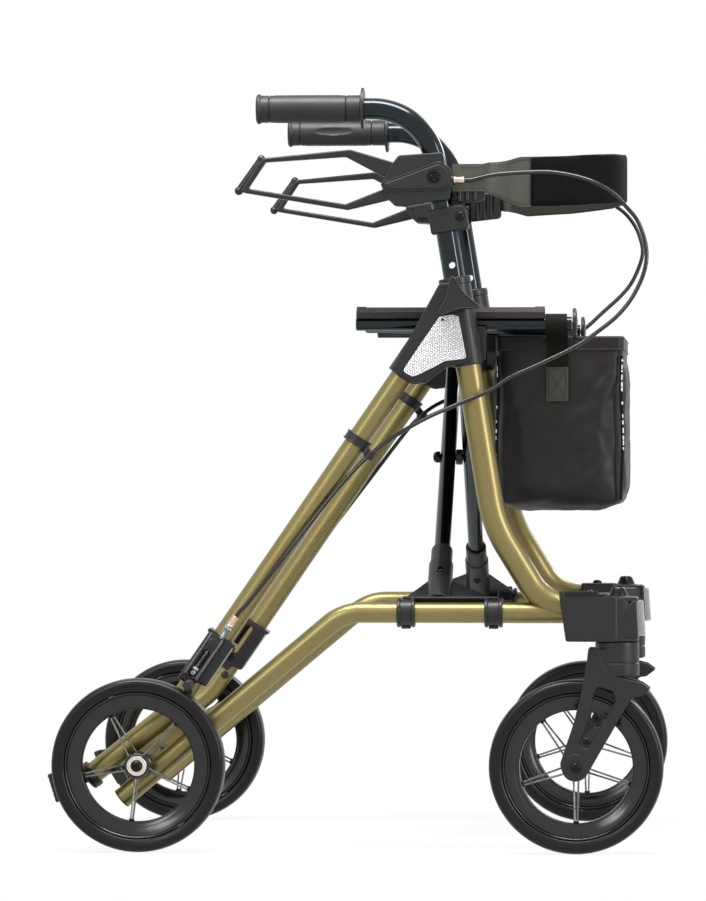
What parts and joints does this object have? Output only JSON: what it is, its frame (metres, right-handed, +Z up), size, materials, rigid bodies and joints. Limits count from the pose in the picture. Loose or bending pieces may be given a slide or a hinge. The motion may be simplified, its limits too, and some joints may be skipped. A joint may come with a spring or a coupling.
{
  "type": "rollator",
  "caption": "Folding walking frame on wheels with swivel casters in front, sling seat, backrest strap, bag, hand brakes and height-adjustable handles.",
  "frame": {"origin": "on the floor, in the middle of the object's length and width", "axes": "+X forward in the walking direction, +Y to the user's left, +Z up"},
  "size_m": [0.71, 0.608, 0.8805],
  "materials": {
    "frame_paint": "satin metallic champagne",
    "black_plastic": "fine-grained satin",
    "black_tube": "gloss black powder coat",
    "tyre": "smooth, slightly worn sheen",
    "rubber": "soft matte",
    "steel": "zinc plated",
    "reflector": "clear honeycomb prism",
    "fabric": "coarse woven nylon",
    "webbing": "flat ribbed webbing",
    "cable_jacket": "smooth extruded jacket"
  },
  "bodies": {
    "left_frame": {"left_rear_leg": "frame_paint", "left_lower_tube": "frame_paint", "left_front_tube": "frame_paint", "left_top_casting": "black_plastic", "left_side_reflector": "reflector", "left_front_casting": "black_plastic", "left_rear_axle": "steel", "left_tip_pedal": "black_plastic", "left_brake_sleeve": "black_plastic", "left_cable_clip": "black_plastic", "left_brake_cable": "cable_jacket"},
    "left_handle": {"left_handle_tube": "black_tube", "left_grip": "rubber", "left_brake_housing": "black_plastic", "left_backrest_bracket": "black_plastic", "backrest": "webbing"},
    "left_lever": {"left_brake_lever": "black_plastic"},
    "left_shoe": {"left_brake_shoe": "rubber"},
    "left_knob": {"left_clamp_knob": "black_plastic"},
    "left_rear_wheel": {"left_rear_rim": "black_plastic", "left_rear_tyre": "tyre"},
    "left_caster": {"left_caster_fork": "black_plastic", "left_front_axle": "steel"},
    "left_front_wheel": {"left_front_rim": "black_plastic", "left_front_tyre": "tyre"},
    "right_frame": {"right_rear_leg": "frame_paint", "right_lower_tube": "frame_paint", "right_front_tube": "frame_paint", "right_top_casting": "black_plastic", "right_side_reflector": "reflector", "right_front_casting": "black_plastic", "right_rear_axle": "steel", "right_tip_pedal": "black_plastic", "right_brake_sleeve": "black_plastic", "right_cable_clip": "black_plastic", "right_brake_cable": "cable_jacket", "cane_cup": "black_plastic"},
    "right_handle": {"right_handle_tube": "black_tube", "right_grip": "rubber", "right_brake_housing": "black_plastic", "right_backrest_bracket": "black_plastic", "cane_clip": "black_plastic"},
    "right_lever": {"right_brake_lever": "black_plastic"},
    "right_shoe": {"right_brake_shoe": "rubber"},
    "right_knob": {"right_clamp_knob": "black_plastic"},
    "right_rear_wheel": {"right_rear_rim": "black_plastic", "right_rear_tyre": "tyre"},
    "right_caster": {"right_caster_fork": "black_plastic", "right_front_axle": "steel"},
    "right_front_wheel": {"right_front_rim": "black_plastic", "right_front_tyre": "tyre"},
    "front_brace": {"left_brace_foot": "black_plastic", "left_brace_tube": "black_tube", "right_seat_rail": "black_tube", "brace_pivot": "steel", "seat": "fabric"},
    "rear_brace": {"right_brace_foot": "black_plastic", "right_brace_tube": "black_tube", "left_seat_rail": "black_tube"},
    "bag_hanger": {"bag": "fabric"}
  },
  "joints": [
    {"name": "fold", "type": "hinge", "parent": "left_frame", "child": "front_brace", "pos_m": [0.122, 0.235, 0.2746], "axis": [-1, 0, 0], "range_deg": [0, 36.6], "deforming": ["seat", "backrest", "bag"]},
    {"name": "brace_cross", "type": "hinge", "parent": "front_brace", "child": "rear_brace", "pos_m": [0.1085, 0, 0.45375], "axis": [1, 0, 0], "range_deg": [0, 78.3]},
    {"name": "right_frame_fold", "type": "hinge", "parent": "rear_brace", "child": "right_frame", "pos_m": [0.095, -0.235, 0.2746], "axis": [-1, 0, 0], "range_deg": [0, 36.7]},
    {"name": "bag_hang", "type": "hinge", "parent": "rear_brace", "child": "bag_hanger", "pos_m": [0.229, 0.203, 0.6085], "axis": [-1, 0, 0], "range_deg": [0, 41.7]},
    {"name": "left_height", "type": "slide", "parent": "left_frame", "child": "left_handle", "axis": [-0.1611, 0, 0.9869], "range_m": [-0.04, 0.08], "deforming": ["left_brake_cable", "backrest"]},
    {"name": "left_lever_turn", "type": "hinge", "parent": "left_handle", "child": "left_lever", "pos_m": [0.0895, 0.2515, 0.7758], "axis": [0, 1, 0], "range_deg": [0, 9], "stiffness_Nm_per_rad": 1, "springref_deg": -20.05},
    {"name": "left_shoe_slide", "type": "slide", "parent": "left_frame", "child": "left_shoe", "axis": [-0.5649, 0, -0.8252], "range_m": [0, 0.0026]},
    {"name": "left_knob_turn", "type": "hinge", "parent": "left_frame", "child": "left_knob", "pos_m": [0.1177, 0.266, 0.6351], "axis": [0, 1, 0], "continuous": true},
    {"name": "left_rear_wheel_spin", "type": "hinge", "parent": "left_frame", "child": "left_rear_wheel", "pos_m": [-0.248, 0.276, 0.1], "axis": [0, 1, 0], "continuous": true},
    {"name": "left_caster_swivel", "type": "hinge", "parent": "left_frame", "child": "left_caster", "pos_m": [0.302, 0.276, 0.24], "axis": [0, 0, 1], "continuous": true},
    {"name": "left_front_wheel_spin", "type": "hinge", "parent": "left_caster", "child": "left_front_wheel", "pos_m": [0.255, 0.276, 0.1], "axis": [0, 1, 0], "continuous": true},
    {"name": "right_height", "type": "slide", "parent": "right_frame", "child": "right_handle", "axis": [-0.1611, 0, 0.9869], "range_m": [-0.04, 0.08], "deforming": ["right_brake_cable", "backrest"]},
    {"name": "right_lever_turn", "type": "hinge", "parent": "right_handle", "child": "right_lever", "pos_m": [0.0895, -0.2515, 0.7758], "axis": [0, 1, 0], "range_deg": [0, 9], "stiffness_Nm_per_rad": 1, "springref_deg": -20.05},
    {"name": "right_shoe_slide", "type": "slide", "parent": "right_frame", "child": "right_shoe", "axis": [-0.5649, 0, -0.8252], "range_m": [0, 0.0026]},
    {"name": "right_knob_turn", "type": "hinge", "parent": "right_frame", "child": "right_knob", "pos_m": [0.1177, -0.266, 0.6351], "axis": [0, -1, 0], "continuous": true},
    {"name": "right_rear_wheel_spin", "type": "hinge", "parent": "right_frame", "child": "right_rear_wheel", "pos_m": [-0.248, -0.276, 0.1], "axis": [0, 1, 0], "continuous": true},
    {"name": "right_caster_swivel", "type": "hinge", "parent": "right_frame", "child": "right_caster", "pos_m": [0.302, -0.276, 0.24], "axis": [0, 0, 1], "continuous": true},
    {"name": "right_front_wheel_spin", "type": "hinge", "parent": "right_caster", "child": "right_front_wheel", "pos_m": [0.255, -0.276, 0.1], "axis": [0, 1, 0], "continuous": true}
  ],
  "couplings": [
    {"joint": "brace_cross", "follows": "fold", "ratio": 2.1368},
    {"joint": "right_frame_fold", "follows": "fold", "ratio": 1},
    {"joint": "bag_hang", "follows": "fold", "ratio": 1.1367},
    {"joint": "left_shoe_slide", "follows": "left_lever_turn", "m_per_rad": 0.0159},
    {"joint": "right_shoe_slide", "follows": "right_lever_turn", "m_per_rad": 0.0159}
  ]
}
